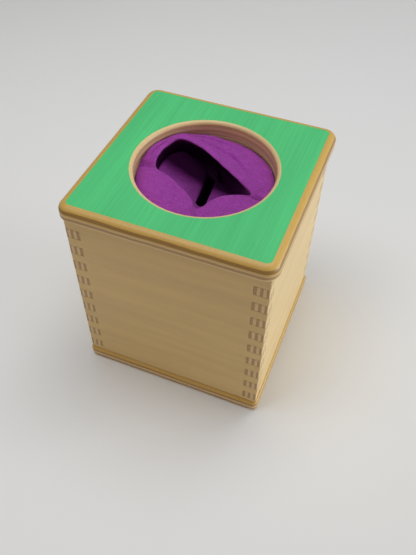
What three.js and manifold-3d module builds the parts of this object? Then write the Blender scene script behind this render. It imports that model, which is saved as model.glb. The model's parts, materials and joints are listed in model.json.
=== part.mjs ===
// Tissue box toy: a finger-jointed plywood box with a painted lift-off lid, and four cotton scarves
// bunched inside it, one on another, that a child pulls out through the round hole in the lid.
// Units are millimetres, +Z is up, and the origin is under the middle of the base.
import * as THREE from "three";
import { mergeVertices } from "three/addons/utils/BufferGeometryUtils.js";
import Module from "manifold-3d";

// Box
const boxWidth = 121.5;
const boxDepth = 121.5;
const wallHeight = 125.6;
const wallThickness = 9;
const fingerWidth = 6.7;
const firstFingerHeight = 3.35;
const glueLine = 0.1;

// Base
const baseThickness = 9;
const baseOverhang = 1.5;
const baseCornerRadius = 4;
const baseEdgeRound = 2.5;

// Lid
const lidThickness = 9.5;
const lidOverhang = 3;
const lidCornerRadius = 8;
const lidTopRound = 4.75;
const lidBottomRound = 1.5;
const lidSeatGap = 0.1;
const holeDiameter = 83.5;
const holeTopRound = 2.2;
const holeBottomRound = 0.3;

// Thin board glued under the lid, which locates it inside the walls
const locatingThickness = 2.4;
const locatingClearance = 0.75;
const locatingRim = 4;
const locatingCornerRadius = 3;
const locatingEdgeRound = 0.5;

// Scarves
const pullClearance = 1.5;
const scarfSeatGap = 0.3;
const topScarfHeight = 49;
const clothUnderHollow = 17;
const crestBelowLidTop = 4.5;
const hoodUndercut = 6;
const pleatCount = 9;
const pleatDepth = 4;
const spareScarfNames = ["bottom_scarf", "third_scarf", "second_scarf"];

// Fineness of the curves
const cornerSteps = 6;
const edgeSteps = 4;
const roundLimit = 0.9;
const holeSteps = 96;
const topScarfSteps = 80;
const spareScarfSteps = 36;

// Heights and half-widths that follow from the sizes above
const wallFoot = baseThickness + glueLine;
const lidUnderside = wallFoot + wallHeight + lidSeatGap;
const lidTop = lidUnderside + lidThickness;
const holeRadius = holeDiameter / 2;
const locatingHalfX = boxWidth / 2 - wallThickness - locatingClearance;
const locatingHalfY = boxDepth / 2 - wallThickness - locatingClearance;
const locatingHoleRadius = Math.min(holeRadius, Math.min(locatingHalfX, locatingHalfY) - locatingRim);
const scarfRadius = locatingHoleRadius - pullClearance;
const topScarfFoot = lidTop - crestBelowLidTop - topScarfHeight;
const spareSpace = topScarfFoot - scarfSeatGap - baseThickness;
const spareScarfHeight = spareSpace / spareScarfNames.length - scarfSeatGap;

// The fold line round the hollow in the top scarf, counter-clockwise seen from above. Each row is a point
// of it: x and y as shares of the scarf's radius, how far it lies below the highest fold, and how far the
// scarf's rim lies below that fold on the same side.
const topScarfFolds = [
  { x: 0.75, y: -0.13, drop: 3.6, rimDrop: 7.4 }, // right end, where the hood meets the front lobe
  { x: 0.53, y: 0.02, drop: 1.2, rimDrop: 7.2 },
  { x: 0.28, y: 0.18, drop: 0.4, rimDrop: 7.1 },
  { x: 0.02, y: 0.35, drop: 0, rimDrop: 7.4 },
  { x: -0.23, y: 0.49, drop: 0, rimDrop: 5.2 },
  { x: -0.44, y: 0.57, drop: 0, rimDrop: 3.7 },
  { x: -0.58, y: 0.55, drop: 0.2, rimDrop: 1.8 }, // top of the hood's arch
  { x: -0.67, y: 0.35, drop: 0.7, rimDrop: 1.7 },
  { x: -0.69, y: 0.11, drop: 1.1, rimDrop: 2.2 },
  { x: -0.69, y: -0.11, drop: 3.2, rimDrop: 5.2 }, // left end, where the hood meets the left lobe
  { x: -0.47, y: -0.22, drop: 2.7, rimDrop: 7.2 },
  { x: -0.22, y: -0.39, drop: 2.7, rimDrop: 7.7 },
  { x: -0.01, y: -0.52, drop: 3.2, rimDrop: 8.2 },
  { x: 0.13, y: -0.63, drop: 6.7, rimDrop: 9.7 }, // valley between the two front lobes
  { x: 0.26, y: -0.46, drop: 3.9, rimDrop: 8.2 },
  { x: 0.44, y: -0.25, drop: 3.5, rimDrop: 7.7 },
];
const hoodFoldRows = 9;
const hollowCentre = { x: -0.07, y: -0.05 };

// The hollow in the top scarf, from its fold line down to its floor: how far down as a share of its depth
// there, its reach as a share of the fold line's, and how much of the hood's undercut it has.
const hollowLevels = [
  { depth: 0, reach: 1, undercut: 0 },
  { depth: 0.08, reach: 0.97, undercut: 0.3 },
  { depth: 0.22, reach: 0.95, undercut: 1 },
  { depth: 0.7, reach: 0.8, undercut: 0.5 },
  { depth: 1, reach: 0.55, undercut: 0 },
];

// The cloth between the top scarf's rim and its fold line: how far along, and how much it swells there as
// a share of the fold's height over the rim.
const shoulderLevels = [
  { along: 0.2, swell: 0.16 },
  { along: 0.55, swell: 0.2 },
];

// A scarf's side, from its drawn-in foot to its rim: height as a share of the rim's, reach as a share of the
// scarf's radius, and how much of the pleats' depth shows there.
const sideLevels = [
  { height: 0, reach: 0.86, pleats: 1 },
  { height: 0.12, reach: 0.97, pleats: 1 },
  { height: 0.5, reach: 0.95, pleats: 1 },
  { height: 0.82, reach: 1, pleats: 0.4 },
  { height: 1, reach: 0.99, pleats: 0 },
];

// A spare scarf's top, in from its rim: heights and reaches as above, and the turn of the pleats from one
// spare scarf to the next.
const spareRimHeight = 0.85;
const spareTopReach = 0.8;
const sparePleatTurn = 2;

const wasm = await Module();
wasm.setup();

function solidFrom(geometry) {
  const bare = geometry.clone();
  bare.deleteAttribute("normal");
  bare.deleteAttribute("uv");
  const merged = mergeVertices(bare);
  const mesh = new wasm.Mesh({
    numProp: 3,
    vertProperties: new Float32Array(merged.attributes.position.array),
    triVerts: new Uint32Array(merged.index.array),
  });
  return new wasm.Manifold(mesh);
}

function geometryFrom(solid) {
  const mesh = solid.getMesh();
  const geometry = new THREE.BufferGeometry();
  geometry.setAttribute("position", new THREE.BufferAttribute(mesh.vertProperties, 3));
  geometry.setIndex(new THREE.BufferAttribute(mesh.triVerts, 1));
  geometry.computeVertexNormals();
  return geometry;
}

// A closed body through rings of points. All rings have as many points, run counter-clockwise seen from
// above where the body grows upwards, and the first and last are closed by a fan.
function loft(rings) {
  const count = rings[0].length;
  const points = rings.flat();
  const index = [];
  for (let ring = 0; ring + 1 < rings.length; ring++) {
    for (let i = 0; i < count; i++) {
      const low = ring * count + i;
      const lowNext = ring * count + ((i + 1) % count);
      index.push(low, lowNext, lowNext + count, low, lowNext + count, low + count);
    }
  }
  const lastRing = (rings.length - 1) * count;
  const firstCentre = points.push(middleOf(rings[0])) - 1;
  const lastCentre = points.push(middleOf(rings[rings.length - 1])) - 1;
  for (let i = 0; i < count; i++) {
    const next = (i + 1) % count;
    index.push(firstCentre, next, i, lastCentre, lastRing + i, lastRing + next);
  }
  const geometry = new THREE.BufferGeometry().setFromPoints(points);
  geometry.setIndex(index);
  geometry.computeVertexNormals();
  return geometry;
}

function middleOf(ring) {
  const middle = new THREE.Vector3();
  ring.forEach((point) => middle.addScaledVector(point, 1 / ring.length));
  return middle;
}

// The angles of a quarter turn in even steps, both ends included.
function quarterTurn(steps) {
  const count = Math.max(1, Math.round(steps));
  return Array.from({ length: count + 1 }, (_, step) => ((step / count) * Math.PI) / 2);
}

function roundedRectangleRing(halfX, halfY, radius, z) {
  const quadrants = [[1, 1], [-1, 1], [-1, -1], [1, -1]];
  return quadrants.flatMap(([sideX, sideY], quadrant) =>
    quarterTurn(cornerSteps).map((turn) => {
      const angle = turn + (quadrant * Math.PI) / 2;
      const x = sideX * (halfX - radius) + radius * Math.cos(angle);
      const y = sideY * (halfY - radius) + radius * Math.sin(angle);
      return new THREE.Vector3(x, y, z);
    }),
  );
}

// A board with rounded corners in plan, and with its lower and upper edges rounded over. An edge's round is
// at most what the board's thickness and corner leave for it.
function roundedBoard(halfX, halfY, cornerRadius, thickness, bottomRound, topRound) {
  const bottom = Math.min(bottomRound, (roundLimit * thickness) / 2, roundLimit * cornerRadius);
  const top = Math.min(topRound, roundLimit * (thickness - bottom), roundLimit * cornerRadius);
  const ringAt = (inset, z) => roundedRectangleRing(halfX - inset, halfY - inset, cornerRadius - inset, z);
  const lowerEdge = quarterTurn(edgeSteps).map((angle) =>
    ringAt(bottom * (1 - Math.sin(angle)), bottom * (1 - Math.cos(angle))),
  );
  const upperEdge = quarterTurn(edgeSteps).map((angle) =>
    ringAt(top * (1 - Math.cos(angle)), thickness - top * (1 - Math.sin(angle))),
  );
  return loft([...lowerEdge, ...upperEdge]);
}

// Heights, above a wall's foot, at which the fingers of a corner joint start and end by turns.
function fingerLevels(slack) {
  const pitch = 2 * fingerWidth;
  const count = Math.floor((wallHeight - firstFingerHeight) / pitch);
  const levels = [];
  for (let i = 0; i < count; i++) {
    const start = firstFingerHeight + i * pitch;
    levels.push(start - slack, start + fingerWidth + slack);
  }
  return levels;
}

// A wall's outline, whose half-width changes from footHalf to otherHalf and back at the given levels.
function combOutline(footHalf, otherHalf, levels) {
  const right = [new THREE.Vector2(footHalf, 0)];
  levels.forEach((level, i) => {
    const [below, above] = i % 2 === 0 ? [footHalf, otherHalf] : [otherHalf, footHalf];
    right.push(new THREE.Vector2(below, level), new THREE.Vector2(above, level));
  });
  right.push(new THREE.Vector2(footHalf, wallHeight));
  const left = right.map((point) => new THREE.Vector2(-point.x, point.y)).reverse();
  return new THREE.Shape([...right, ...left]);
}

function wallGeometry(outline) {
  return new THREE.ExtrudeGeometry(outline, { depth: wallThickness, bevelEnabled: false });
}

// The front and back walls have slots at their ends for the fingers of the side walls.
function slottedWallGeometry() {
  const slotBottomHalf = boxWidth / 2 - wallThickness - glueLine;
  return wallGeometry(combOutline(boxWidth / 2, slotBottomHalf, fingerLevels(glueLine / 2)));
}

function fingeredWallGeometry() {
  const shoulderHalf = boxDepth / 2 - wallThickness - glueLine;
  return wallGeometry(combOutline(shoulderHalf, boxDepth / 2, fingerLevels(-glueLine / 2)));
}

function baseBoardGeometry() {
  const halfX = boxWidth / 2 + baseOverhang;
  const halfY = boxDepth / 2 + baseOverhang;
  return roundedBoard(halfX, halfY, baseCornerRadius, baseThickness, baseEdgeRound, baseEdgeRound);
}

// The round hole, with its lower and upper edges eased, as a body to cut out of the lid.
function holeCutterGeometry() {
  const past = lidThickness;
  const foot = quarterTurn(edgeSteps).map((angle) => [
    holeRadius + holeBottomRound * (1 - Math.sin(angle)),
    holeBottomRound * (1 - Math.cos(angle)),
  ]);
  const mouth = quarterTurn(edgeSteps).map((angle) => [
    holeRadius + holeTopRound * (1 - Math.cos(angle)),
    lidThickness - holeTopRound * (1 - Math.sin(angle)),
  ]);
  const below = [[0, -past], [holeRadius + holeBottomRound, -past]];
  const above = [[holeRadius + holeTopRound, lidThickness + past], [0, lidThickness + past]];
  const profile = [...below, ...foot, ...mouth, ...above].map(([r, z]) => new THREE.Vector2(r, z));
  return new THREE.LatheGeometry(profile, Math.round(holeSteps)).rotateX(Math.PI / 2);
}

function lidBoardGeometry() {
  const halfX = boxWidth / 2 + lidOverhang;
  const halfY = boxDepth / 2 + lidOverhang;
  const board = roundedBoard(halfX, halfY, lidCornerRadius, lidThickness, lidBottomRound, lidTopRound);
  return geometryFrom(solidFrom(board).subtract(solidFrom(holeCutterGeometry())));
}

function locatingBoardGeometry() {
  const edge = locatingEdgeRound;
  const board = roundedBoard(locatingHalfX, locatingHalfY, locatingCornerRadius, locatingThickness, edge, edge);
  const cutterHeight = 3 * locatingThickness;
  const cutter = new THREE.CylinderGeometry(
    locatingHoleRadius, locatingHoleRadius, cutterHeight, Math.round(holeSteps),
  ).rotateX(Math.PI / 2);
  return geometryFrom(solidFrom(board).subtract(solidFrom(cutter)));
}

// Even steps round a scarf, as shares of a turn.
function turnShares(steps) {
  const count = Math.round(steps);
  return Array.from({ length: count }, (_, step) => step / count);
}

function around(angle, radius, z) {
  return new THREE.Vector3(radius * Math.cos(angle), radius * Math.sin(angle), z);
}

// The pleated side of a bunched scarf, from its foot to its rim.
function scarfSideRings(angles, turn, footZ, rimHeights) {
  const pleatPhase = (angle) => (1 - Math.cos(Math.round(pleatCount) * angle + turn)) / 2;
  return sideLevels.map(({ height, reach, pleats }) =>
    angles.map((angle, i) => {
      const radius = reach * scarfRadius - pleats * pleatDepth * pleatPhase(angle);
      return around(angle, radius, footZ + height * rimHeights[i]);
    }),
  );
}

// How far each step round the top scarf belongs to the hood: 0 at the hood's ends and 1 in its middle.
function hoodShare(turnShare) {
  const row = turnShare * topScarfFolds.length;
  return row < hoodFoldRows ? Math.sin((Math.PI * row) / hoodFoldRows) : 0;
}

// The scarf on top: folds lean in over a deep hollow, and the hood at the back hangs over it furthest.
function topScarfGeometry() {
  const crest = lidTop - crestBelowLidTop;
  const hollowFloor = topScarfFoot + clothUnderHollow;
  const closedCurve = (points) => new THREE.CatmullRomCurve3(points, true, "catmullrom");
  const foldLine = closedCurve(
    topScarfFolds.map(({ x, y, drop }) => new THREE.Vector3(x * scarfRadius, y * scarfRadius, crest - drop)),
  );
  const rimLine = closedCurve(topScarfFolds.map(({ rimDrop }) => new THREE.Vector3(0, 0, -rimDrop)));
  const centre = new THREE.Vector2(hollowCentre.x, hollowCentre.y).multiplyScalar(scarfRadius);

  const shares = turnShares(topScarfSteps);
  const folds = shares.map((share) => foldLine.getPoint(share));
  const angles = folds.map((fold) => Math.atan2(fold.y - centre.y, fold.x - centre.x));
  const rimHeights = shares.map((share) => topScarfHeight + rimLine.getPoint(share).z);
  const sideRings = scarfSideRings(angles, 0, topScarfFoot, rimHeights);
  const rim = sideRings[sideRings.length - 1];

  const shoulderRings = shoulderLevels.map(({ along, swell }) =>
    folds.map((fold, i) => {
      const point = rim[i].clone().lerp(fold, along);
      return point.setZ(point.z + swell * (fold.z - rim[i].z));
    }),
  );
  const hollowRings = hollowLevels.map(({ depth, reach, undercut }) =>
    folds.map((fold, i) => {
      const spoke = new THREE.Vector2(fold.x, fold.y).sub(centre);
      spoke.setLength(reach * spoke.length() + undercut * hoodUndercut * hoodShare(shares[i])).add(centre);
      return new THREE.Vector3(spoke.x, spoke.y, THREE.MathUtils.lerp(fold.z, hollowFloor, depth));
    }),
  );
  return loft([...sideRings, ...shoulderRings, ...hollowRings]);
}

// A spare scarf lower in the stack: a flatter bunch with a level top that the next one sits on.
function spareScarfGeometry(level) {
  const foot = baseThickness + scarfSeatGap + level * (spareScarfHeight + scarfSeatGap);
  const angles = turnShares(spareScarfSteps).map((share) => share * 2 * Math.PI);
  const rimHeights = angles.map(() => spareRimHeight * spareScarfHeight);
  const top = angles.map((angle) => around(angle, spareTopReach * scarfRadius, foot + spareScarfHeight));
  return loft([...scarfSideRings(angles, level * sparePleatTurn, foot, rimHeights), top]);
}

function woodMaterial() {
  return new THREE.MeshStandardMaterial({ color: 0xd9b982, roughness: 0.5, metalness: 0 });
}

function lidPaintMaterial() {
  return new THREE.MeshStandardMaterial({ color: 0x58b976, roughness: 0.5, metalness: 0 });
}

function scarfMaterial() {
  return new THREE.MeshStandardMaterial({ color: 0x9a4aa6, roughness: 0.95, metalness: 0 });
}

function named(name, geometry, material) {
  const mesh = new THREE.Mesh(geometry, material);
  mesh.name = name;
  return mesh;
}

function makeBox() {
  const box = new THREE.Group();
  box.add(named("base_board", baseBoardGeometry(), woodMaterial()));
  const walls = new THREE.Group();
  walls.position.z = wallFoot;
  for (const [name, outerY] of [["front_wall", wallThickness - boxDepth / 2], ["back_wall", boxDepth / 2]]) {
    const wall = named(name, slottedWallGeometry(), woodMaterial());
    wall.rotation.x = Math.PI / 2;
    wall.position.y = outerY;
    walls.add(wall);
  }
  for (const [name, innerX] of [["left_wall", -boxWidth / 2], ["right_wall", boxWidth / 2 - wallThickness]]) {
    const wall = named(name, fingeredWallGeometry(), woodMaterial());
    wall.rotation.set(Math.PI / 2, 0, Math.PI / 2, "ZYX");
    wall.position.x = innerX;
    walls.add(wall);
  }
  box.add(walls);
  return box;
}

function makeLid() {
  const lid = new THREE.Group();
  lid.position.z = lidUnderside;
  lid.add(named("lid_board", lidBoardGeometry(), lidPaintMaterial()));
  const locatingBoard = named("locating_board", locatingBoardGeometry(), woodMaterial());
  locatingBoard.position.z = -glueLine - locatingThickness;
  lid.add(locatingBoard);
  return lid;
}

function makeScarves() {
  const scarves = new THREE.Group();
  scarves.add(named("top_scarf", topScarfGeometry(), scarfMaterial()));
  spareScarfNames.forEach((name, level) => {
    scarves.add(named(name, spareScarfGeometry(level), scarfMaterial()));
  });
  return scarves;
}

const tissueBox = new THREE.Group();
tissueBox.add(makeBox(), makeLid(), makeScarves());

export default tissueBox;
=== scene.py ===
"""Tissue box toy: the finished plywood box, its painted lid and the cotton scarves bunched inside it.

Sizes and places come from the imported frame, in metres, with +Z up and the front wall facing -Y.
"""

import json
import math

import bmesh
import bpy
import numpy as np
from bpy.props import FloatProperty, FloatVectorProperty, IntProperty, PointerProperty
from mathutils import Euler, Matrix, Vector

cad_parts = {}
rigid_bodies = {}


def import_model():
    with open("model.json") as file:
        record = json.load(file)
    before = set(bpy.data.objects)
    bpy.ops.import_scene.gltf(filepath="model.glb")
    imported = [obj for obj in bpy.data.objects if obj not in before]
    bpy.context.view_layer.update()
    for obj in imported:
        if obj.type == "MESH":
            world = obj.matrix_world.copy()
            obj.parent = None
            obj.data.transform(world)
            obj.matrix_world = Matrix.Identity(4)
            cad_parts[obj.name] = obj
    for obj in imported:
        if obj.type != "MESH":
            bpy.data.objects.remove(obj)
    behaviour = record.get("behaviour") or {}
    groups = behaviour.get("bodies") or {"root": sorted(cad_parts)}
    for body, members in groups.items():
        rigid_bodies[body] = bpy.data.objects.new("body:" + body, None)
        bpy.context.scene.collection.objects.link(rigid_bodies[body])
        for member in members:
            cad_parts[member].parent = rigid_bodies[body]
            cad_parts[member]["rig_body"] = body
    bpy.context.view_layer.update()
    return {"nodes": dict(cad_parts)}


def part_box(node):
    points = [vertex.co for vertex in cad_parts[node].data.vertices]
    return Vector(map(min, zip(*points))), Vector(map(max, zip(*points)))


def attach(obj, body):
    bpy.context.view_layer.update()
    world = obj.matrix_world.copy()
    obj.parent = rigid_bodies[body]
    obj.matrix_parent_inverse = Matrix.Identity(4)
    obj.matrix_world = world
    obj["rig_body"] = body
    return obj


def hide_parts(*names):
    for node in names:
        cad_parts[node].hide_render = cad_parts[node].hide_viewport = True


bl_info = {
    "name": "Tissue Box Toy",
    "version": (1, 0, 0),
    "blender": (4, 5, 0),
    "location": "3D View > Sidebar > Tissue Box",
    "description": "Builds the plywood, paint and cloth of a tissue box toy around its packed model",
    "category": "Object",
}

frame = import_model()

MM = 0.001
IMAGE_WIDTH, IMAGE_HEIGHT = 416, 555
SENSOR = 36.0
FLOOR_HALF = 3.0
LIGHT_AIM = Vector((0.0, 0.0, 0.08))
SHARP_DEGREES = 35
LENGTHWISE_WALLS = ("front_wall", "back_wall")
WALLS = (*LENGTHWISE_WALLS, "left_wall", "right_wall")

# Patterns in the plywood's faces: how often each varies in a metre across the grain and along it.
FIGURE_GRAIN, BAND_GRAIN, PORE_GRAIN = (190.0, 11.0), (48.0, 5.0), (1500.0, 60.0)

# The scarves under the top one, and what each rests on.
SPARE_SCARVES = (
    ("second_scarf", "third_scarf"),
    ("third_scarf", "bottom_scarf"),
    ("bottom_scarf", "base_board"),
)

# The fold line round the hollow in the top scarf, counter-clockwise seen from above. A row is one point of
# it: x and y as shares of the scarf's radius; how far the fold and the scarf's rim lie below the highest
# fold; which place along the hollow's slot the cloth runs down to, from 0 at the front to 1 at the back, and
# on which side of it; and how deep the cloth lies close under the fold and part of the way in (millimetres).
FOLD_ROWS = (
    (0.75, -0.13, 3.6, 7.4, 0.42, 1.0, 10.0, 10.0),
    (0.53, 0.02, 1.2, 7.4, 0.50, 1.0, 15.0, 12.4),
    (0.27, 0.18, 0.4, 7.5, 0.64, 1.0, 20.0, 14.6),
    (0.00, 0.35, 0.0, 7.6, 0.88, 0.8, 23.0, 16.4),
    (-0.26, 0.50, 0.0, 5.4, 1.00, -0.3, 24.0, 15.4),
    (-0.51, 0.58, 0.0, 3.7, 0.98, -1.0, 22.0, 11.6),
    (-0.67, 0.56, 0.2, 1.8, 0.86, -1.0, 19.0, 9.2),
    (-0.78, 0.35, 0.7, 1.7, 0.72, -1.0, 16.0, 8.2),
    (-0.80, 0.10, 1.1, 2.2, 0.58, -1.0, 12.5, 8.0),
    (-0.74, -0.10, 3.2, 5.2, 0.46, -1.0, 8.4, 8.0),
    (-0.48, -0.22, 2.7, 7.2, 0.36, -1.0, 5.8, 8.0),
    (-0.22, -0.39, 2.7, 7.7, 0.22, -1.0, 5.8, 8.2),
    (-0.01, -0.52, 3.2, 8.2, 0.08, -1.0, 6.4, 8.6),
    (0.13, -0.63, 5.9, 9.3, 0.00, 0.0, 7.6, 8.8),
    (0.26, -0.46, 3.9, 8.2, 0.08, 1.0, 7.4, 9.4),
    (0.44, -0.25, 3.5, 7.7, 0.26, 1.0, 8.6, 10.4),
)
HOOD_ROWS = 9

# The slot at the bottom of the hollow: its x, its y and its lips' depth below the highest fold, each at the
# slot's front end and by how much it grows to the back end (millimetres).
SLOT_LINE = ((4.4, -6.9), (-19.8, 44.0), (9.0, 8.0))

# Painted shade: cloth in a hollow is drawn darker from one depth below the fold, over a length. Under the
# hood the painted shade also deepens towards the back, along y plus a slant times x.
PAINTED_SHADE_DEPTH, PAINTED_SHADE_DEPTH_LENGTH = 5.5 * MM, 9 * MM
PAINTED_SHADE_SLANT, PAINTED_SHADE_START, PAINTED_SHADE_LENGTH = 0.25, -16.5 * MM, 20 * MM

# Creases pressed into the cloth outside the fold line. One that runs along the fold: the rows it lies
# between, its place from the fold (0) to the rim (1), and its depth in millimetres.
CREASE_WIDTH = 0.04
LONG_CREASES = ((1.2, 4.4, 0.34, 2.2), (2.2, 5.2, 0.66, 1.9), (6.3, 8.8, 0.48, 0.9))
# One that runs out from the fold to the rim: the row it lies on, its width in rows and its depth.
CROSS_CREASES = ((8.95, 0.22, 2.2), (15.85, 0.25, 1.8), (13.0, 0.5, 1.1), (11.4, 0.3, 0.6), (14.6, 0.35, 0.5))

# Where the cloth is drawn between the fold (0) and the rim (1), closer together at the creases.
SHOULDER_SHARES = (0.0, 0.1, 0.2, 0.28, 0.34, 0.4, 0.48, 0.56, 0.61, 0.66, 0.71, 0.8, 0.9)

# A scarf's side, from its rim down to its foot: height as a share of the rim's, reach as a share of the
# scarf's radius, and how much of the pleats' depth shows there. The top scarf's are slight beside its hollow.
SIDE_LEVELS = ((1.0, 0.997, 0.0), (0.85, 0.99, 0.4), (0.5, 0.95, 1.0), (0.14, 0.97, 1.0), (0.0, 0.86, 0.9))
TOP_SIDE_LEVELS = (
    (1.0, 0.997, 0.0), (0.85, 0.993, 0.15), (0.5, 0.985, 0.36), (0.32, 0.96, 1.0), (0.14, 0.97, 1.1),
    (0.0, 0.86, 0.9),
)

# A spare scarf's top, from its middle out: reach as a share of the scarf's radius, then depth under the top
# and depth of the ripples as shares of the scarf's height.
SPARE_TOP_LEVELS = (
    (0.05, 0.62, 0.0), (0.12, 0.35, 0.1), (0.3, 0.08, 0.26), (0.55, 0.0, 0.26), (0.8, 0.0, 0.2)
)

# A scarf's hem, in under its foot: reach as a share of the scarf's radius, and height of the ripples.
HEM_LEVELS = ((0.6, 1.2 * MM), (0.3, 2.2 * MM))

# Swells of soft cloth: length in millimetres, direction and phase in radians; height as a share of length.
SWELLS = ((17, 0.4, 0.0), (13, 1.5, 1.1), (11, 2.5, 2.3), (9, 0.9, 4.0), (7.5, 2.0, 5.2))
SWELL_HEIGHT = 0.009


def srgb(red, green, blue):
    """A colour given as 8-bit screen values, as the linear values that shaders take."""
    shares = [value / 255 for value in (red, green, blue)]
    return tuple(s / 12.92 if s <= 0.04045 else ((s + 0.055) / 1.055) ** 2.4 for s in shares)


def colour_property(name, description, default):
    return FloatVectorProperty(
        name=name, description=description, default=default, size=3, subtype="COLOR", min=0.0, max=1.0
    )


def length_property(name, description, default):
    return FloatProperty(name=name, description=description, default=default, unit="LENGTH", min=0.0)


def angle_property(name, description, degrees):
    return FloatProperty(name=name, description=description, default=math.radians(degrees), subtype="ANGLE")


def number_property(name, description, default):
    return FloatProperty(name=name, description=description, default=default, min=0.0)


class PlywoodSettings(bpy.types.PropertyGroup):
    """Plywood boards and their finger joints."""

    ply_count: IntProperty(name="Plies", description="Layers of veneer in a board", default=5, min=1)
    veneer: colour_property("Veneer", "Colour of the boards' faces", srgb(222, 195, 140))
    # Painted shade: the front and back walls' veneer is drawn darker and warmer than the side walls', for the
    # warm shade on the box's front.
    painted_shade_veneer: colour_property("Warm veneer", "Colour of the front and back walls", srgb(214, 185, 124))
    light_ply: colour_property("Light ply", "Colour of the plies cut along their grain", srgb(218, 190, 140))
    dark_ply: colour_property("Dark ply", "Colour of the plies cut across their grain", srgb(174, 140, 88))
    gold_ply: colour_property("Rounded edge", "Colour of the lacquered rounded edges", srgb(202, 164, 84))
    gold_dark: colour_property("Dark rounded ply", "Dark plies of the rounded edges", srgb(150, 116, 57))
    finger_width: length_property("Finger width", "Height of one finger of a corner joint", 6.7 * MM)
    first_finger: length_property("First finger", "Height of the first finger over a wall's foot", 3.35 * MM)
    glue_line: length_property("Glue line", "Gap between glued faces", 0.1 * MM)
    corner_ease: length_property("Corner ease", "Round of the box's upright corners", 0.9 * MM)
    edge_ease: length_property("Edge ease", "Round of every other sharp edge", 0.2 * MM)


class BoardSettings(bpy.types.PropertyGroup):
    """Rounded boards of the base and the lid."""

    base_corner: length_property("Base corner", "Corner radius of the base in plan", 4 * MM)
    base_round: length_property("Base round", "Round of the base's edges", 2.5 * MM)
    lid_corner: length_property("Lid corner", "Corner radius of the lid in plan", 8 * MM)
    lid_top_round: length_property("Lid top round", "Round of the lid's upper edge", 4.75 * MM)
    lid_bottom_round: length_property("Lid bottom round", "Round of the lid's lower edge", 1.5 * MM)
    hole_diameter: length_property("Hole", "Diameter of the lid's hole", 83.5 * MM)
    hole_top_round: length_property("Hole top round", "Round of the hole's upper edge", 2.2 * MM)
    hole_bottom_round: length_property("Hole bottom round", "Round of the hole's lower edge", 0.3 * MM)
    locating_corner: length_property("Locating corner", "Corner radius of the locating board in plan", 3 * MM)
    locating_round: length_property("Locating round", "Round of the locating board's edges", 0.5 * MM)
    paint: colour_property("Paint", "Colour of the lid's painted top", srgb(84, 202, 128))


class ScarfSettings(bpy.types.PropertyGroup):
    """Cotton scarves."""

    cloth: colour_property("Cloth", "Colour of the cotton", srgb(154, 60, 161))
    square: length_property("Square", "Side of a scarf laid flat", 150 * MM)
    thickness: length_property("Thickness", "Thickness of the cotton", 0.7 * MM)
    thread: length_property("Thread pitch", "Distance between threads of the weave", 0.55 * MM)
    pleats: IntProperty(name="Pleats", description="Pleats round a bunched scarf", default=17, min=3)
    pleat_depth: length_property("Pleat depth", "Depth of the pleats in a scarf's side", 9 * MM)
    undercut: length_property("Hood undercut", "How far the hollow reaches under the hood", 13 * MM)
    hole_gap: length_property("Hole gap", "Gap between the top scarf and the lid's hole", 0.3 * MM)
    grid: length_property("Grid", "Distance between the points of a scarf's mesh", 1.3 * MM)
    slot_width: length_property("Slot width", "Width of the deep slot in the hollow", 6.4 * MM)
    slot_depth: length_property("Slot depth", "Depth of the slot under its lips", 20 * MM)


class StageSettings(bpy.types.PropertyGroup):
    """Camera, floor and lights."""

    azimuth: angle_property("Azimuth", "Camera's turn round the box", 21.6)
    elevation: angle_property("Elevation", "Camera's height angle", 49.45)
    roll: angle_property("Roll", "Camera's tilt about its own axis", 0.42)
    distance: length_property("Distance", "From the camera to the point it looks at", 0.42405)
    target_height: length_property("Target height", "Height of the point it looks at", 0.0468)
    focal_pixels: number_property("Focal length", "Focal length in image pixels", 606.3)
    axis_x: number_property("Axis column", "Image column of the lens axis", 204.33)
    axis_y: number_property("Axis row", "Image row of the lens axis", 274.96)
    floor: colour_property("Floor", "Colour of the floor", srgb(238, 240, 242))
    window_power: number_property("Window", "Power of the light overhead, in watts", 7.3)
    side_power: number_property("Side light", "Power of the light at the right, in watts", 46.0)
    room_power: number_property("Room light", "Power of the dim warm light in front, in watts", 6.0)
    room_colour: colour_property("Room colour", "Colour of the light in front", srgb(255, 186, 104))
    surround: colour_property("Surround", "Colour of the even light from all round", srgb(255, 249, 240))
    surround_level: number_property("Surround level", "Strength of the even light", 0.19)


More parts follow.
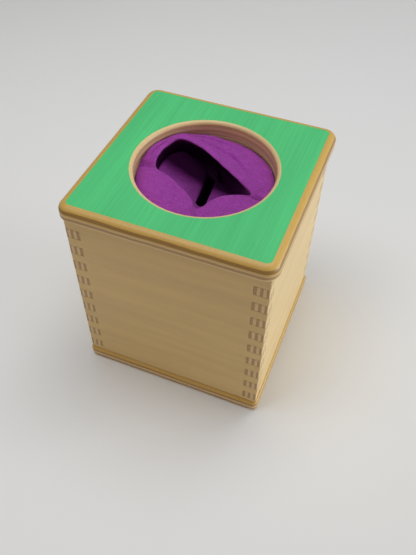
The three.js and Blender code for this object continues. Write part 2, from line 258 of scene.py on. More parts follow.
class Shader:
    """Puts one material's nodes together."""

    def __init__(self, name):
        self.material = bpy.data.materials.new(name)
        self.material.use_nodes = True
        self.tree = self.material.node_tree
        self.surface = self.tree.nodes["Principled BSDF"]
        coordinates = self.node("ShaderNodeTexCoord")
        self.object_place = coordinates.outputs["Object"]
        self.uv_place = coordinates.outputs["UV"]

    def node(self, kind, **settings):
        node = self.tree.nodes.new(kind)
        for name, value in settings.items():
            setattr(node, name, value)
        return node

    def put(self, socket, value):
        if isinstance(value, bpy.types.NodeSocket):
            self.tree.links.new(value, socket)
        elif hasattr(socket.default_value, "__len__") and len(value) == 3 and len(socket.default_value) == 4:
            socket.default_value = (*value, 1.0)
        else:
            socket.default_value = value

    def set(self, **values):
        """Fills the surface's own sockets: Base_Color=..., Roughness=..."""
        for name, value in values.items():
            self.put(self.surface.inputs[name.replace("_", " ")], value)

    def math(self, operation, *values):
        node = self.node("ShaderNodeMath", operation=operation)
        for socket, value in zip(node.inputs, values):
            self.put(socket, value)
        return node.outputs[0]

    def axis(self, place, index):
        node = self.node("ShaderNodeSeparateXYZ")
        self.put(node.inputs[0], place)
        return node.outputs[index]

    def stretched(self, place, scale):
        node = self.node("ShaderNodeMapping")
        self.put(node.inputs["Vector"], place)
        node.inputs["Scale"].default_value = scale
        return node.outputs[0]

    def noise(self, place, scale, detail=2.0, roughness=0.5):
        node = self.node("ShaderNodeTexNoise")
        self.put(node.inputs["Vector"], place)
        node.inputs["Scale"].default_value = scale
        node.inputs["Detail"].default_value = detail
        node.inputs["Roughness"].default_value = roughness
        return node.outputs[0]

    def spread(self, value, low, high, out_low, out_high):
        node = self.node("ShaderNodeMapRange")
        for socket, entry in zip(node.inputs, (value, low, high, out_low, out_high)):
            self.put(socket, entry)
        return node.outputs[0]

    def ramp(self, value, stops):
        node = self.node("ShaderNodeValToRGB")
        self.put(node.inputs[0], value)
        elements = node.color_ramp.elements
        while len(elements) < len(stops):
            elements.new(1.0)
        for element, (position, level) in zip(elements, stops):
            element.position = position
            element.color = (level, level, level, 1.0)
        return node.outputs[0]

    def mix(self, share, first, second, blend="MIX"):
        node = self.node("ShaderNodeMix", data_type="RGBA", blend_type=blend)
        colours = [socket for socket in node.inputs if socket.type == "RGBA"]
        self.put(node.inputs[0], share)
        self.put(colours[0], first)
        self.put(colours[1], second)
        return [socket for socket in node.outputs if socket.type == "RGBA"][0]

    def shade(self, colour, factor):
        """A colour times a varying factor."""
        grey = self.node("ShaderNodeCombineColor")
        for socket in grey.inputs:
            self.put(socket, factor)
        return self.mix(1.0, colour, grey.outputs[0], blend="MULTIPLY")

    def bump(self, height, strength, distance):
        node = self.node("ShaderNodeBump")
        node.inputs["Strength"].default_value = strength
        node.inputs["Distance"].default_value = distance
        self.put(node.inputs["Height"], height)
        self.put(self.surface.inputs["Normal"], node.outputs[0])


def ply_stops(count, outer_dark):
    """Where a ramp across a board's thickness is dark: every second ply, with slightly soft glue lines."""
    soft = 0.012
    stops = [(0.0, float(outer_dark))]
    for ply in range(1, count):
        before, after = (ply + 1 + outer_dark) % 2, (ply + outer_dark) % 2
        stops += [(ply / count - soft, float(before)), (ply / count + soft, float(after))]
    return stops


def grain_scale(grain_axis, across, along):
    scale = [across] * 3
    scale[grain_axis] = along
    return scale


def plywood_material(
    name, settings, axis, start, thickness, grain_axis, *,
    gold_from=1.0, contrast=1.0, outer_dark=False, veneer=None,
):
    """Lacquered plywood. The plies lie across one axis of the board, and its faces show long grain. The edges
    are golden beyond a share of the thickness, and dark where a ply shows its end grain."""
    ply_wave, gold_fade, face_from = 0.03, 0.2, 0.485
    shader = Shader(name)
    place = shader.object_place

    def grain(scales, detail, roughness=0.5):
        return shader.noise(shader.stretched(place, grain_scale(grain_axis, *scales)), 1.0, detail, roughness)

    waviness = shader.noise(place, 45.0, 2.0)
    depth = shader.math("DIVIDE", shader.math("SUBTRACT", shader.axis(place, axis), start), thickness)
    wavy_depth = shader.math("ADD", depth, shader.spread(waviness, 0.3, 0.7, -ply_wave, ply_wave))
    dark = shader.ramp(wavy_depth, ply_stops(settings.ply_count, outer_dark))
    from_middle = shader.math("ABSOLUTE", shader.math("SUBTRACT", depth, 0.5))
    on_face = shader.math("GREATER_THAN", from_middle, face_from)

    figure = grain(FIGURE_GRAIN, 3.0, 0.55)
    pores = grain(PORE_GRAIN, 2.0, 0.6)
    banded = grain(BAND_GRAIN, 2.0)
    speckle = shader.noise(place, 1400.0, 2.0, 0.6)

    golden = shader.spread(depth, gold_from, gold_from + gold_fade, 0.0, 1.0)
    light = shader.mix(golden, tuple(settings.light_ply), tuple(settings.gold_ply))
    deep = shader.mix(golden, tuple(settings.dark_ply), tuple(settings.gold_dark))
    edge = shader.mix(shader.math("MULTIPLY", dark, contrast), light, deep)
    edge = shader.shade(edge, shader.spread(speckle, 0.25, 0.75, 0.9, 1.08))
    sheet = shader.mix(golden, tuple(veneer or settings.veneer), tuple(settings.gold_ply))
    face = shader.shade(sheet, shader.spread(figure, 0.25, 0.75, 0.945, 1.045))
    face = shader.shade(face, shader.spread(banded, 0.3, 0.7, 0.945, 1.035))
    face = shader.shade(face, shader.spread(pores, 0.3, 0.75, 1.02, 0.955))
    shader.set(
        Base_Color=shader.mix(on_face, edge, face),
        Roughness=shader.spread(pores, 0.2, 0.8, 0.4, 0.56),
        Coat_Weight=0.12,
        Coat_Roughness=0.28,
    )
    shader.bump(shader.math("ADD", pores, shader.math("MULTIPLY", dark, -0.6)), 0.2, 0.12 * MM)
    return shader.material


def paint_material(name, settings):
    """Satin paint on plywood, thin enough that the grain shows as fine lines."""
    shader = Shader(name)
    place = shader.object_place
    lines = shader.noise(shader.stretched(place, (1100.0, 14.0, 14.0)), 1.0, 3.0, 0.6)
    broad = shader.noise(shader.stretched(place, (120.0, 9.0, 9.0)), 1.0, 2.0)
    brushed = shader.spread(lines, 0.25, 0.75, 0.89, 1.07)
    colour = shader.shade(tuple(settings.paint), brushed)
    colour = shader.shade(colour, shader.spread(broad, 0.3, 0.7, 0.96, 1.04))
    shader.set(
        Base_Color=colour,
        Roughness=shader.spread(lines, 0.25, 0.75, 0.62, 0.52),
        Specular_IOR_Level=0.22,
    )
    shader.bump(lines, 0.35, 0.12 * MM)
    return shader.material


def cloth_material(name, settings):
    """Soft woven cotton: crossing threads, slightly uneven dye and a light sheen. Deep in a hollow and under
    the hood, painted shade darkens it and takes away its sheen.
    """
    shader = Shader(name)
    turns = 2 * math.pi / settings.thread
    place = shader.uv_place
    warp = shader.math("SINE", shader.math("MULTIPLY", shader.axis(place, 0), turns))
    weft = shader.math("SINE", shader.math("MULTIPLY", shader.axis(place, 1), turns))
    weave = shader.math("MULTIPLY", warp, weft)
    dye = shader.noise(shader.object_place, 130.0, 3.0, 0.6)
    slubs = shader.noise(shader.stretched(place, (150.0, 1800.0, 1.0)), 1.0, 2.0)
    speckle = shader.noise(shader.object_place, 1100.0, 3.0)
    # The attribute read here carries painted shade for cloth deep in a hollow and under the hood.
    hollow = shader.node("ShaderNodeAttribute", attribute_name="painted_hollow_shade").outputs["Fac"]
    colour = shader.shade(tuple(settings.cloth), shader.spread(dye, 0.3, 0.7, 0.92, 1.06))
    colour = shader.shade(colour, shader.spread(slubs, 0.3, 0.7, 0.86, 1.14))
    colour = shader.shade(colour, shader.spread(speckle, 0.3, 0.7, 0.78, 1.22))
    colour = shader.shade(colour, shader.spread(weave, -1.0, 1.0, 0.86, 1.12))
    # Painted shade: the colour is darkened down to a twentieth where that attribute is full.
    colour = shader.shade(colour, shader.spread(hollow, 0.0, 1.0, 1.0, 0.05))
    shader.set(
        Base_Color=colour,
        Roughness=0.78,
        # The painted shade also takes the specular and the sheen away.
        Specular_IOR_Level=shader.spread(hollow, 0.0, 0.8, 0.25, 0.0),
        Sheen_Weight=shader.spread(hollow, 0.0, 0.8, 0.28, 0.0),
        Sheen_Roughness=0.45,
        Sheen_Tint=srgb(226, 170, 232),
    )
    shader.bump(shader.math("ADD", weave, slubs), 0.4, 0.08 * MM)
    return shader.material


def floor_material(name, colour):
    """Plain pale floor with a hint of unevenness."""
    shader = Shader(name)
    cloud = shader.noise(shader.object_place, 2.5, 2.0)
    shader.set(
        Base_Color=shader.shade(tuple(colour), shader.spread(cloud, 0.3, 0.7, 0.985, 1.01)),
        Roughness=0.7,
        Specular_IOR_Level=0.2,
    )
    return shader.material


def show(name, mesh, materials):
    """A new object of a finished mesh, at the origin."""
    piece = bpy.data.objects.new(name, mesh)
    for material in materials:
        mesh.materials.append(material)
    bpy.context.scene.collection.objects.link(piece)
    return piece


def mesh_from(name, points, faces):
    """A mesh whose faces all look outward."""
    mesh = bpy.data.meshes.new(name)
    mesh.from_pydata([tuple(point) for point in points], [], [tuple(face) for face in faces])
    work = bmesh.new()
    work.from_mesh(mesh)
    bmesh.ops.recalc_face_normals(work, faces=work.faces)
    work.to_mesh(mesh)
    work.free()
    return mesh


def carry(piece, node):
    """The piece stands for a node of the frame and moves with that node's body."""
    body = frame["nodes"][node]["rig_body"]
    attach(piece, body)
    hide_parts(node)


def strip_faces(ring_count, columns, closed):
    """Quads between rings of points, with the last ring joined to the first if closed."""
    faces = []
    for ring in range(ring_count if closed else ring_count - 1):
        upper = (ring + 1) % ring_count
        first, second = ring * columns, upper * columns
        for column in range(columns):
            after = (column + 1) % columns
            faces.append((first + column, first + after, second + after, second + column))
    return faces


def board_outline(half_x, half_y, radius, arc_steps=12, side_steps=14):
    """A rectangle with round corners, counter-clockwise, with points along its sides too."""
    points = []
    for quadrant, (side_x, side_y) in enumerate(((1, 1), (-1, 1), (-1, -1), (1, -1))):
        centre = np.array([side_x * (half_x - radius), side_y * (half_y - radius)])
        for step in range(arc_steps + 1):
            angle = (quadrant + step / arc_steps) * math.pi / 2
            points.append(centre + radius * np.array([math.cos(angle), math.sin(angle)]))
        along = np.array([-math.sin(angle), math.cos(angle)])
        length = 2 * ((half_x - radius) if quadrant % 2 == 0 else (half_y - radius))
        points += [points[-1] + along * length * step / side_steps for step in range(1, side_steps)]
    return np.array(points)


def at_height(outline, z):
    return np.column_stack([outline, np.full(len(outline), z)])


def edge_profile(low, high, bottom_round, top_round, steps=6):
    """A board's edge from its underside to its top: how far it is rounded off at each height."""
    turns = [(math.sin(t), math.cos(t)) for t in np.linspace(0, math.pi / 2, steps + 1)]
    bottom = [(bottom_round * (1 - sine), low + bottom_round * (1 - cosine)) for sine, cosine in turns]
    return bottom + [(top_round * (1 - cosine), high - top_round * (1 - sine)) for sine, cosine in turns]


def edge_rings(half_x, half_y, corner, *profile):
    """Rings up a board's outside, from its underside to its top."""
    return [
        at_height(board_outline(half_x - inset, half_y - inset, corner - inset), z)
        for inset, z in edge_profile(*profile)
    ]


def hole_rings(outside, radius, *profile):
    """Rings down a round hole in a board, from its top to its underside, facing the outside's points."""
    spokes = outside[0][:, :2] / np.linalg.norm(outside[0][:, :2], axis=1)[:, None]
    return [at_height(spokes * (radius + wider), z) for wider, z in reversed(edge_profile(*profile))]


def board_mesh(name, rings, holed=False):
    """A board through rings up its outside. With a hole, they go on down the hole and close on the first; a
    plain board is closed by a flat face under it and one on top."""
    columns = len(rings[0])
    faces = strip_faces(len(rings), columns, holed)
    if not holed:
        last = (len(rings) - 1) * columns
        faces += [tuple(range(columns)), tuple(range(last, last + columns))]
    mesh = mesh_from(name, np.concatenate(rings), faces)
    mesh.shade_smooth()
    mesh.set_sharp_from_angle(angle=math.radians(SHARP_DEGREES))
    return mesh


def finger_tree(name, operation, material):
    """A node tree for a wall: a panel, with fingers added at both ends or slots cut out of them."""
    tree = bpy.data.node_groups.new(name, "GeometryNodeTree")
    sockets = {}
    tree.interface.new_socket("Geometry", in_out="OUTPUT", socket_type="NodeSocketGeometry")
    for label, kind in (
        ("Panel", "NodeSocketVector"),
        ("Finger", "NodeSocketVector"),
        ("First", "NodeSocketVector"),
        ("Pitch", "NodeSocketFloat"),
        ("Count", "NodeSocketInt"),
    ):
        sockets[label] = tree.interface.new_socket(label, in_out="INPUT", socket_type=kind).identifier
    nodes, links = tree.nodes, tree.links
    given = nodes.new("NodeGroupInput").outputs

    panel = nodes.new("GeometryNodeMeshCube")
    links.new(given["Panel"], panel.inputs["Size"])
    finger = nodes.new("GeometryNodeMeshCube")
    links.new(given["Finger"], finger.inputs["Size"])
    upward = nodes.new("ShaderNodeCombineXYZ")
    links.new(given["Pitch"], upward.inputs["Z"])
    mirrored = nodes.new("ShaderNodeVectorMath")
    mirrored.operation = "MULTIPLY"
    mirrored.inputs[1].default_value = (-1.0, 1.0, 1.0)
    links.new(given["First"], mirrored.inputs[0])

    rows = nodes.new("GeometryNodeJoinGeometry")
    for start in (given["First"], mirrored.outputs[0]):
        row = nodes.new("GeometryNodeMeshLine")
        row.mode = "OFFSET"
        links.new(given["Count"], row.inputs["Count"])
        links.new(start, row.inputs["Start Location"])
        links.new(upward.outputs[0], row.inputs["Offset"])
        links.new(row.outputs[0], rows.inputs[0])
    placed = nodes.new("GeometryNodeInstanceOnPoints")
    links.new(rows.outputs[0], placed.inputs["Points"])
    links.new(finger.outputs["Mesh"], placed.inputs["Instance"])
    solid = nodes.new("GeometryNodeRealizeInstances")
    links.new(placed.outputs[0], solid.inputs[0])

    joined = nodes.new("GeometryNodeMeshBoolean")
    joined.operation = operation
    joined.solver = "EXACT"
    panel_socket = "Mesh 1" if operation == "DIFFERENCE" else "Mesh 2"
    links.new(panel.outputs["Mesh"], joined.inputs[panel_socket])
    links.new(solid.outputs[0], joined.inputs["Mesh 2"])
    whole = nodes.new("GeometryNodeRealizeInstances")
    links.new(joined.outputs["Mesh"], whole.inputs[0])
    finish = nodes.new("GeometryNodeSetMaterial")
    finish.inputs["Material"].default_value = material
    links.new(whole.outputs[0], finish.inputs["Geometry"])
    out = nodes.new("NodeGroupOutput")
    links.new(finish.outputs[0], out.inputs[0])
    return tree, sockets


def grown_mesh(name, tree, values):
    """The plain mesh that a node tree makes from the given inputs."""
    seed = bpy.data.objects.new(name + "_seed", bpy.data.meshes.new(name + "_seed"))
    bpy.context.scene.collection.objects.link(seed)
    modifier = seed.modifiers.new("Shape", "NODES")
    modifier.node_group = tree
    for identifier, value in values.items():
        modifier[identifier] = value
    seed.update_tag()
    evaluated = seed.evaluated_get(bpy.context.evaluated_depsgraph_get())
    mesh = bpy.data.meshes.new_from_object(evaluated)
    mesh.name = name
    bpy.data.objects.remove(seed)
    return mesh


def wall_mesh(node, ply, material):
    """A wall with its comb of fingers, in place. Its length lies along X while it is made. The front and back
    walls are slotted, and the side walls' fingers fill the slots."""
    merge_distance, flat_angle = 0.01 * MM, math.radians(1)
    low, high = (np.array(corner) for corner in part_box(node))
    size = high - low
    slotted = node in LENGTHWISE_WALLS
    thickness, length, height = (size[1], size[0], size[2]) if slotted else size
    pitch = 2 * ply.finger_width
    count = int((height - ply.first_finger) / pitch)
    middle = ply.first_finger + ply.finger_width / 2 - height / 2
    root = length / 2 - thickness - ply.glue_line
    if slotted:
        spare = 1 * MM
        panel = (length, thickness, height)
        reach = length / 2 + spare - root
        finger = (reach, thickness + 2 * spare, ply.finger_width + ply.glue_line)
    else:
        panel = (2 * root, thickness, height)
        sunk = thickness / 2
        reach = length / 2 - root + sunk
        root -= sunk
        finger = (reach, thickness, ply.finger_width - ply.glue_line)
    tree, sockets = finger_tree(node + "_fingers", "DIFFERENCE" if slotted else "UNION", material)
    mesh = grown_mesh(node, tree, {
        sockets["Panel"]: panel,
        sockets["Finger"]: finger,
        sockets["First"]: (root + reach / 2, 0.0, middle),
        sockets["Pitch"]: pitch,
        sockets["Count"]: count,
    })
    turn = Matrix.Identity(4) if slotted else Matrix.Rotation(math.pi / 2, 4, "Z")
    mesh.transform(Matrix.Translation(Vector((low + high) / 2)) @ turn)
    work = bmesh.new()
    work.from_mesh(mesh)
    bmesh.ops.remove_doubles(work, verts=work.verts, dist=merge_distance)
    bmesh.ops.dissolve_limit(work, angle_limit=flat_angle, verts=work.verts, edges=work.edges)
    bmesh.ops.recalc_face_normals(work, faces=work.faces)
    work.to_mesh(mesh)
    work.free()
    return mesh


def ease_edges(piece, ply, corners):
    """Rounds a board's sharp edges a little, and the box's upright corners more."""
    same_place = 0.05 * MM
    mesh = piece.data
    mesh.shade_smooth()
    weights = mesh.attributes.new("bevel_weight_edge", "FLOAT", "EDGE")
    small = ply.edge_ease / ply.corner_ease
    for edge in mesh.edges:
        ends = [mesh.vertices[index].co for index in edge.vertices]
        away = [max(abs(abs(end.x) - corners[0]), abs(abs(end.y) - corners[1])) for end in ends]
        weights.data[edge.index].value = 1.0 if max(away) < same_place else small
    bevel = piece.modifiers.new("Eased edges", "BEVEL")
    bevel.limit_method = "WEIGHT"
    bevel.width = ply.corner_ease
    bevel.segments = 3
    bevel.harden_normals = True


def periodic(values, places):
    """A smooth closed curve through evenly spaced values, read at places from 0 to 1."""
    values = np.asarray(values, float)
    count = len(values)
    position = np.asarray(places) * count
    index = np.floor(position).astype(int)
    t = (position - index)[:, None] if values.ndim > 1 else position - index
    p0, p1, p2, p3 = (values[(index + shift) % count] for shift in (-1, 0, 1, 2))
    bend, twist = 2 * p0 - 5 * p1 + 4 * p2 - p3, 3 * p1 - p0 - 3 * p2 + p3
    return 0.5 * (2 * p1 + (p2 - p0) * t + bend * t ** 2 + twist * t ** 3)


def between_rings(rings, spacing):
    """Rings of points between the given ones, about a spacing apart, on smooth curves through them. A fourth
    column, if any, is carried along."""
    rings = [2 * rings[0] - rings[1], *rings, 2 * rings[-1] - rings[-2]]
    filled = []
    for p0, p1, p2, p3 in zip(rings, rings[1:], rings[2:], rings[3:]):
        pairs = ((p0, p1), (p1, p2), (p2, p3))
        gaps = [np.linalg.norm((after - before)[:, :3], axis=1, keepdims=True) for before, after in pairs]
        k0 = np.zeros_like(gaps[0])
        k1, k2, k3 = (k0 + sum(np.sqrt(gap + 1e-9) for gap in gaps[:count]) for count in (1, 2, 3))
        steps = max(2, round(float(gaps[1].mean()) / spacing))
        for share in np.arange(steps) / steps:
            k = k1 + share * (k2 - k1)
            a1 = ((k1 - k) * p0 + (k - k0) * p1) / (k1 - k0)
            a2 = ((k2 - k) * p1 + (k - k1) * p2) / (k2 - k1)
            a3 = ((k3 - k) * p2 + (k - k2) * p3) / (k3 - k2)
            b1 = ((k2 - k) * a1 + (k - k0) * a2) / (k2 - k0)
            b2 = ((k3 - k) * a2 + (k - k1) * a3) / (k3 - k1)
            filled.append(((k2 - k) * b1 + (k - k1) * b2) / (k2 - k1))
    filled.append(rings[-2])
    return np.array(filled)


def uneven(points):
    """Small swells and dips of soft cloth, as heights over the given points."""
    heights = np.zeros(points.shape[:-1])
    for length, angle, phase in SWELLS:
        along = points[..., 0] * math.cos(angle) + points[..., 1] * math.sin(angle) + 0.5 * points[..., 2]
        heights += SWELL_HEIGHT * length * np.sin(2 * math.pi * along / (length * MM) + phase)
    return heights * MM


def around(angles, reach, heights):
    """A ring of points round the middle."""
    return np.column_stack([reach * np.cos(angles), reach * np.sin(angles), heights])


def pleat_wave(angles, scarf, turn):
    """How far in each side point is drawn, from 0 to 1: uneven pleats that close round the scarf."""
    drift = 0.9 * np.sin(2 * angles + turn) + 0.6 * np.sin(5 * angles - 2 * turn)
    deep = 0.78 + 0.22 * np.sin(3 * angles + 2.4 * turn)
    return deep * (1 - np.cos(scarf.pleats * angles + turn + drift)) / 2


def side_rings(levels, angles, scarf, radius, foot, rim_heights, turn):
    """Rings down a bunched scarf's pleated side, and in under it to its hem."""
    rings = []
    for share, reach, pleats in levels:
        wave = pleat_wave(angles, scarf, turn + 0.9 * (1 - share))
        out = reach * radius - pleats * scarf.pleat_depth * wave
        rings.append(around(angles, out, foot + share * rim_heights))
    lift = scarf.thickness
    for reach, ripple in HEM_LEVELS:
        rings.append(around(angles, reach * radius * (1 - 0.1 * wave), foot + lift + ripple * wave))
    return rings


def cloth_piece(name, grid, scarf, material):
    """A sheet of cloth through a grid of points, closed round its middle, with its flat place as UV. The
    grid's fourth column is painted shade: how much darker the cloth is drawn in a hollow."""
    grid, shade = grid[..., :3], grid[..., 3].clip(0.0, 1.0)
    rows, columns, _ = grid.shape
    middle = grid[0].mean(axis=0)
    points = np.concatenate([grid.reshape(-1, 3), middle[None]])
    faces = strip_faces(rows, columns, False)
    centre = rows * columns
    faces += [(centre, (column + 1) % columns, column) for column in range(columns)]
    mesh = mesh_from(name, points, faces)
    steps = np.linalg.norm(np.diff(grid, axis=0), axis=2).mean(axis=1)
    reach = np.concatenate([[0.0], np.cumsum(steps)]) + np.linalg.norm(grid[0] - middle, axis=1).mean()
    turns = np.arange(columns) / columns * 2 * math.pi
    flat = np.stack([reach[:, None] * np.cos(turns), reach[:, None] * np.sin(turns)], axis=2).reshape(-1, 2)
    flat = np.concatenate([flat, [[0.0, 0.0]]])
    # Painted shade, kept on each point for the cloth's material.
    hollow = mesh.attributes.new("painted_hollow_shade", "FLOAT", "POINT")
    hollow.data.foreach_set("value", np.append(shade.ravel(), shade[0].mean()).astype(np.float32))
    layer = mesh.uv_layers.new(name="cloth_flat")
    corners = np.zeros(len(mesh.loops), int)
    mesh.loops.foreach_get("vertex_index", corners)
    layer.data.foreach_set("uv", flat[corners].ravel())
    mesh.shade_smooth()
    piece = show(name, mesh, [material])
    thickness = piece.modifiers.new("Cloth thickness", "SOLIDIFY")
    thickness.thickness = scarf.thickness
    thickness.offset = -1.0
    return piece


def painted_hollow_shade(below):
    """Painted shade for cloth in a hollow, from 0 to 1, by its depth below the fold round the hollow."""
    return np.clip((below - PAINTED_SHADE_DEPTH) / PAINTED_SHADE_DEPTH_LENGTH, 0.0, 1.0)


def crease_depths(row, share):
    """How deep the creases are at one place between the fold and the rim, for every column."""
    depth = np.zeros(len(row))
    count = len(FOLD_ROWS)
    for first, last, place, deep in LONG_CREASES:
        window = np.clip((row - first) / (last - first), 0, 1)
        depth += deep * np.sin(math.pi * window) * math.exp(-((share - place) / CREASE_WIDTH) ** 2)
    for middle, width, deep in CROSS_CREASES:
        away = (row - middle + count / 2) % count - count / 2
        depth += deep * np.exp(-(away / width) ** 2) * min(1.0, 2.5 * share)
    return depth * MM


def top_scarf_grid(scarf, hole_radius):
    """The scarf on top: a hood at the back hangs over a hollow, with a lobe on either side of its front."""
    low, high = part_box("top_scarf")
    radius = (high.x - low.x) / 2
    rim_radius = hole_radius - scarf.hole_gap
    crest, foot = high.z, low.z
    columns = 260
    places = np.arange(columns) / columns
    table = periodic(np.array(FOLD_ROWS), places)
    fold = table[:, :2] * radius
    drop, rim_drop, gap, inner = (table[:, column] * MM for column in (2, 3, 6, 7))
    along, side = np.clip(table[:, 4], 0, 1), np.clip(table[:, 5], -1, 1)
    row = places * len(FOLD_ROWS)
    hood = np.sin(math.pi * np.minimum(row / HOOD_ROWS, 1.0)).clip(0.0, 1.0)[:, None] ** 0.6

    slot_x, slot_y, lip_drop = ((start + growth * along) * MM for start, growth in SLOT_LINE)
    slot = np.column_stack([slot_x, slot_y])
    across = np.column_stack([side, 0.16 * side]) * scarf.slot_width / 2
    centre = np.array([-0.07, -0.05]) * radius
    outward = fold - centre
    outward = outward / np.linalg.norm(outward, axis=1)[:, None]

    # A ring of points, with how much painted shade darkens it as a fourth column.
    def ring(plan, below, shade=0.0):
        return np.column_stack([plan, crest - below, np.broadcast_to(shade, columns)])

    def inside(share, below):
        plan = (slot + across) * (1 - share) + fold * share
        # Painted shade also deepens under the hood, towards the back of the hollow.
        painted_shade_under_hood = np.clip((plan[:, 1] + PAINTED_SHADE_SLANT * plan[:, 0] - PAINTED_SHADE_START) / PAINTED_SHADE_LENGTH, 0.0, 1.0)
        return ring(plan, below, np.maximum(painted_hollow_shade(below), painted_shade_under_hood))

    angles = np.unwrap(np.arctan2(fold[:, 1] - centre[1], fold[:, 0] - centre[0]))
    sides = side_rings(TOP_SIDE_LEVELS, angles, scarf, rim_radius, foot, (crest - foot) - rim_drop, 0.0)
    sides = [np.column_stack([side_ring, np.zeros(columns)]) for side_ring in sides]
    rim = sides[0]
    turned = np.minimum(2.4 * MM, 0.35 * (gap - drop))

    def shoulder(share):
        point = ring(fold + outward * 0.9 * MM, drop) * (1 - share) + rim * share
        point[:, 2] += 2.0 * share ** 2 * (1 - share) * (rim_drop - drop) - crease_depths(row, share)
        return point

    room = np.linalg.norm(rim[:, :2] - fold, axis=1)[:, None]
    undercut = hood * np.minimum(scarf.undercut, 0.4 * room)
    # Painted shade under the hood, strongest in the hood's middle rows and fading at its ends.
    painted_hood_shade = hood[:, 0]
    slot_foot = np.minimum(lip_drop + scarf.slot_depth, (crest - foot) - 4 * MM)
    rings = [
        # The slot, from its foot to its lips, drawn wholly dark as painted shade, and the hollow out to the
        # fold.
        ring(slot + across * 0.7, slot_foot, 1.0),
        ring(slot + across * 0.95, lip_drop + 3 * MM, 1.0),
        inside(0.0, lip_drop),
        inside(0.3, 0.6 * lip_drop + 0.4 * inner),
        inside(0.65, 0.2 * lip_drop + 0.8 * inner),
        inside(0.95, inner),
        # In under the hood, and round the edge of the fold, in painted shade that fades out at the fold.
        ring(fold + outward * (0.4 * undercut - 0.6 * MM), gap, np.maximum(painted_hood_shade, painted_hollow_shade(gap))),
        ring(fold + outward * undercut, drop + 0.5 * (gap - drop), painted_hood_shade),
        ring(fold + outward * (0.3 * MM + 0.25 * undercut), drop + turned, 0.7 * painted_hood_shade),
        ring(fold, drop + 0.25 * turned),
        # Down outside the fold to the rim, and on down the side.
        *(shoulder(share) for share in SHOULDER_SHARES),
        *sides,
    ]
    grid = between_rings(rings, scarf.grid)
    grid[..., 2] += uneven(grid)
    return grid


def spare_scarf_grid(node, scarf, turn):
    """A scarf lower in the stack: a flatter bunch, gathered into a dimple in the middle of its top."""
    low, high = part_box(node)
    radius = (high.x - low.x) / 2
    top, foot = high.z - 0.2 * MM, low.z
    height = top - foot
    columns = 200
    angles = np.arange(columns) / columns * 2 * math.pi
    wave = pleat_wave(angles, scarf, turn)
    rings = []
    for reach, below, ripple in SPARE_TOP_LEVELS:
        out = reach * radius * (1 - 0.12 * wave)
        rings.append(around(angles, out, top - height * (below + ripple * wave)))
    rim_heights = np.full(columns, 0.85 * height)
    rings += side_rings(SIDE_LEVELS, angles, scarf, radius, foot, rim_heights, turn)
    grid = between_rings(rings, 1.3 * scarf.grid)
    inner_rows = slice(0, len(grid) // 3)
    grid[inner_rows, :, 2] -= np.abs(uneven(grid[inner_rows]))
    # Painted shade in the dimple in the middle of the top.
    shade = np.zeros(grid.shape[:2])
    shade[inner_rows] = painted_hollow_shade(top - grid[inner_rows, :, 2])
    return np.concatenate([grid, shade[..., None]], axis=2)


def toy_settings():
    return bpy.context.scene.tissue_box


class TissueBoxSettings(bpy.types.PropertyGroup):
    """Everything that can be set on the toy."""

    plywood: PointerProperty(type=PlywoodSettings)
    boards: PointerProperty(type=BoardSettings)
    scarves: PointerProperty(type=ScarfSettings)
    stage: PointerProperty(type=StageSettings)


class TISSUEBOX_OT_walls(bpy.types.Operator):
    """Make the four finger-jointed plywood walls"""

    bl_idname = "tissuebox.walls"
    bl_label = "Walls"

    def execute(self, context):
        ply = toy_settings().plywood
        half_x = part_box("right_wall")[1].x
        half_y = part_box("back_wall")[1].y
        for node in WALLS:
            low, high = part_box(node)
            # The front and back walls take the veneer with painted shade.
            axis, veneer = (1, ply.painted_shade_veneer) if node in LENGTHWISE_WALLS else (0, ply.veneer)
            thickness = high[axis] - low[axis]
            material = plywood_material(
                node + "_ply", ply, axis, low[axis], thickness, 1 - axis, outer_dark=True, veneer=veneer
            )
            piece = show(node + "_board", wall_mesh(node, ply, material), [])
            ease_edges(piece, ply, (half_x, half_y))
            carry(piece, node)
        return {"FINISHED"}


class TISSUEBOX_OT_base(bpy.types.Operator):
    """Make the base board with its rounded edges"""

    bl_idname = "tissuebox.base"
    bl_label = "Base"

    def execute(self, context):
        ply, boards = toy_settings().plywood, toy_settings().boards
        low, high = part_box("base_board")
        material = plywood_material("base_ply", ply, 2, low.z, high.z - low.z, 0, gold_from=0.6)
        edge = boards.base_round
        rings = edge_rings(high.x, high.y, boards.base_corner, low.z, high.z, edge, edge)
        piece = show("base_board_rounded", board_mesh("base_board", rings), [material])
        carry(piece, "base_board")
        return {"FINISHED"}


class TISSUEBOX_OT_lid(bpy.types.Operator):
    """Make the lid board with its hole, its painted top and its bare edges"""

    bl_idname = "tissuebox.lid"
    bl_label = "Lid"

    def execute(self, context):
        ply, boards = toy_settings().plywood, toy_settings().boards
        low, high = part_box("lid_board")
        material = plywood_material("lid_ply", ply, 2, low.z, high.z - low.z, 1, gold_from=0.4)
        bore_material = plywood_material("hole_ply", ply, 2, low.z, high.z - low.z, 1, contrast=0.5)
        paint = paint_material("lid_paint", boards)
        outside = edge_rings(
            high.x, high.y, boards.lid_corner, low.z, high.z, boards.lid_bottom_round, boards.lid_top_round
        )
        rings = outside + hole_rings(
            outside, boards.hole_diameter / 2, low.z, high.z, boards.hole_bottom_round, boards.hole_top_round
        )
        mesh = board_mesh("lid_board", rings, holed=True)
        piece = show("lid_board_painted", mesh, [material, paint, bore_material])
        columns = len(outside[0])
        top = (len(outside) - 1) * columns
        for face in mesh.polygons[top:]:
            face.material_index = 1 if face.index < top + columns else 2
        carry(piece, "lid_board")
        return {"FINISHED"}


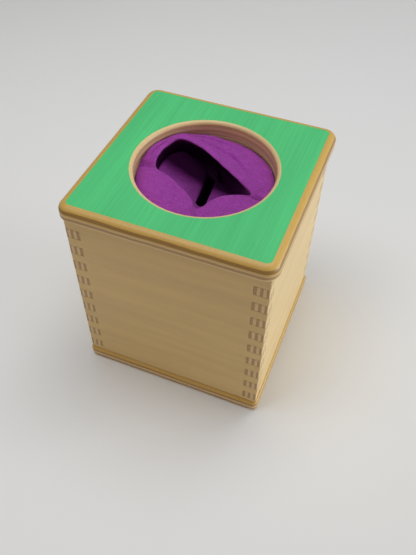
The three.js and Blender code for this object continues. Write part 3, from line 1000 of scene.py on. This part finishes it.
class TISSUEBOX_OT_locating_board(bpy.types.Operator):
    """Make the thin board under the lid that drops inside the walls"""

    bl_idname = "tissuebox.locating_board"
    bl_label = "Locating board"

    def execute(self, context):
        ply, boards = toy_settings().plywood, toy_settings().boards
        low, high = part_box("locating_board")
        material = plywood_material("locating_ply", ply, 2, low.z, high.z - low.z, 0, contrast=0.5)
        edge = boards.locating_round
        outside = edge_rings(high.x, high.y, boards.locating_corner, low.z, high.z, edge, edge)
        rings = outside + hole_rings(outside, boards.hole_diameter / 2, low.z, high.z, 0.0, edge)
        piece = show("locating_board_thin", board_mesh("locating_board", rings, holed=True), [material])
        carry(piece, "locating_board")
        return {"FINISHED"}


class TISSUEBOX_OT_top_scarf(bpy.types.Operator):
    """Make the scarf that shows in the lid's hole"""

    bl_idname = "tissuebox.top_scarf"
    bl_label = "Top scarf"

    def execute(self, context):
        scarf = toy_settings().scarves
        material = cloth_material("top_scarf_cotton", scarf)
        grid = top_scarf_grid(scarf, toy_settings().boards.hole_diameter / 2)
        piece = cloth_piece("top_scarf_cloth", grid, scarf, material)
        carry(piece, "top_scarf")
        return {"FINISHED"}


class TISSUEBOX_OT_spare_scarves(bpy.types.Operator):
    """Make the scarves that lie bunched under the top one"""

    bl_idname = "tissuebox.spare_scarves"
    bl_label = "Spare scarves"

    def execute(self, context):
        scarf = toy_settings().scarves
        material = cloth_material("spare_scarf_cotton", scarf)
        for index, (node, under) in enumerate(SPARE_SCARVES):
            grid = spare_scarf_grid(node, scarf, 1.3 * index + 0.6)
            piece = cloth_piece(node + "_cloth", grid, scarf, material)
            carry(piece, node)
        return {"FINISHED"}


class TISSUEBOX_OT_stage(bpy.types.Operator):
    """Make the floor, the lights and the camera"""

    bl_idname = "tissuebox.stage"
    bl_label = "Stage"

    def execute(self, context):
        stage = toy_settings().stage
        scene = context.scene
        corners = [(x * FLOOR_HALF, y * FLOOR_HALF, 0) for x, y in ((-1, -1), (1, -1), (1, 1), (-1, 1))]
        mesh = mesh_from("floor", corners, [(0, 1, 2, 3)])
        show("floor", mesh, [floor_material("pale_floor", stage.floor)])

        data = bpy.data.cameras.new("camera")
        data.sensor_width = SENSOR
        data.lens = stage.focal_pixels / IMAGE_HEIGHT * SENSOR
        data.shift_x = (IMAGE_WIDTH / 2 - stage.axis_x) / IMAGE_HEIGHT
        data.shift_y = (stage.axis_y - IMAGE_HEIGHT / 2) / IMAGE_HEIGHT
        data.clip_start = 0.01
        camera = bpy.data.objects.new("camera", data)
        turn = Euler((math.pi / 2 - stage.elevation, 0.0, stage.azimuth)).to_matrix()
        back = turn @ Vector((0.0, 0.0, 1.0))
        place = Vector((0.0, 0.0, stage.target_height)) + back * stage.distance
        turn = turn @ Matrix.Rotation(stage.roll, 3, "Z")
        camera.matrix_world = Matrix.Translation(place) @ turn.to_4x4()
        scene.collection.objects.link(camera)
        scene.camera = camera

        white = (1.0, 1.0, 1.0)
        for name, power, colour, place, size in (
            ("window", stage.window_power, white, (-0.08, 0.07, 1.05), (1.3, 0.44)),
            ("side_light", stage.side_power, white, (2.6, 0.7, 0.34), (1.8, 0.52)),
            ("room_light", stage.room_power, tuple(stage.room_colour), (-0.6, -3.0, 0.44), (1.6, 0.72)),
        ):
            light = bpy.data.lights.new(name, "AREA")
            light.shape = "RECTANGLE"
            light.size, light.size_y = size
            light.energy = power
            light.color = colour
            lamp = bpy.data.objects.new(name, light)
            aim = LIGHT_AIM - Vector(place)
            lamp.matrix_world = Matrix.Translation(place) @ aim.to_track_quat("-Z", "Y").to_matrix().to_4x4()
            scene.collection.objects.link(lamp)

        world = bpy.data.worlds.new("surround")
        world.use_nodes = True
        background = world.node_tree.nodes["Background"]
        background.inputs["Color"].default_value = (*stage.surround, 1.0)
        background.inputs["Strength"].default_value = stage.surround_level
        scene.world = world
        scene.view_settings.view_transform = "Standard"
        return {"FINISHED"}


class TISSUEBOX_PT_panel(bpy.types.Panel):
    """Lists the toy's pieces and their settings"""

    bl_idname = "TISSUEBOX_PT_panel"
    bl_label = "Tissue Box"
    bl_space_type = "VIEW_3D"
    bl_region_type = "UI"
    bl_category = "Tissue Box"

    def draw(self, context):
        toy = context.scene.tissue_box
        for operator in OPERATORS:
            self.layout.operator(operator.bl_idname)
        for group in (toy.plywood, toy.boards, toy.scarves, toy.stage):
            box = self.layout.box()
            for name in group.bl_rna.properties.keys():
                if name not in ("rna_type", "name"):
                    box.prop(group, name)


OPERATORS = (
    TISSUEBOX_OT_stage,
    TISSUEBOX_OT_walls,
    TISSUEBOX_OT_base,
    TISSUEBOX_OT_lid,
    TISSUEBOX_OT_locating_board,
    TISSUEBOX_OT_top_scarf,
    TISSUEBOX_OT_spare_scarves,
)
SETTINGS = (PlywoodSettings, BoardSettings, ScarfSettings, StageSettings, TissueBoxSettings)
CLASSES = (*SETTINGS, *OPERATORS, TISSUEBOX_PT_panel)


def register():
    for entry in CLASSES:
        bpy.utils.register_class(entry)
    bpy.types.Scene.tissue_box = PointerProperty(type=TissueBoxSettings)


def unregister():
    del bpy.types.Scene.tissue_box
    for entry in reversed(CLASSES):
        bpy.utils.unregister_class(entry)


def main():
    register()
    bpy.ops.tissuebox.stage()
    bpy.ops.tissuebox.walls()
    bpy.ops.tissuebox.base()
    bpy.ops.tissuebox.lid()
    bpy.ops.tissuebox.locating_board()
    bpy.ops.tissuebox.top_scarf()
    bpy.ops.tissuebox.spare_scarves()


if __name__ == "__main__":
    main()
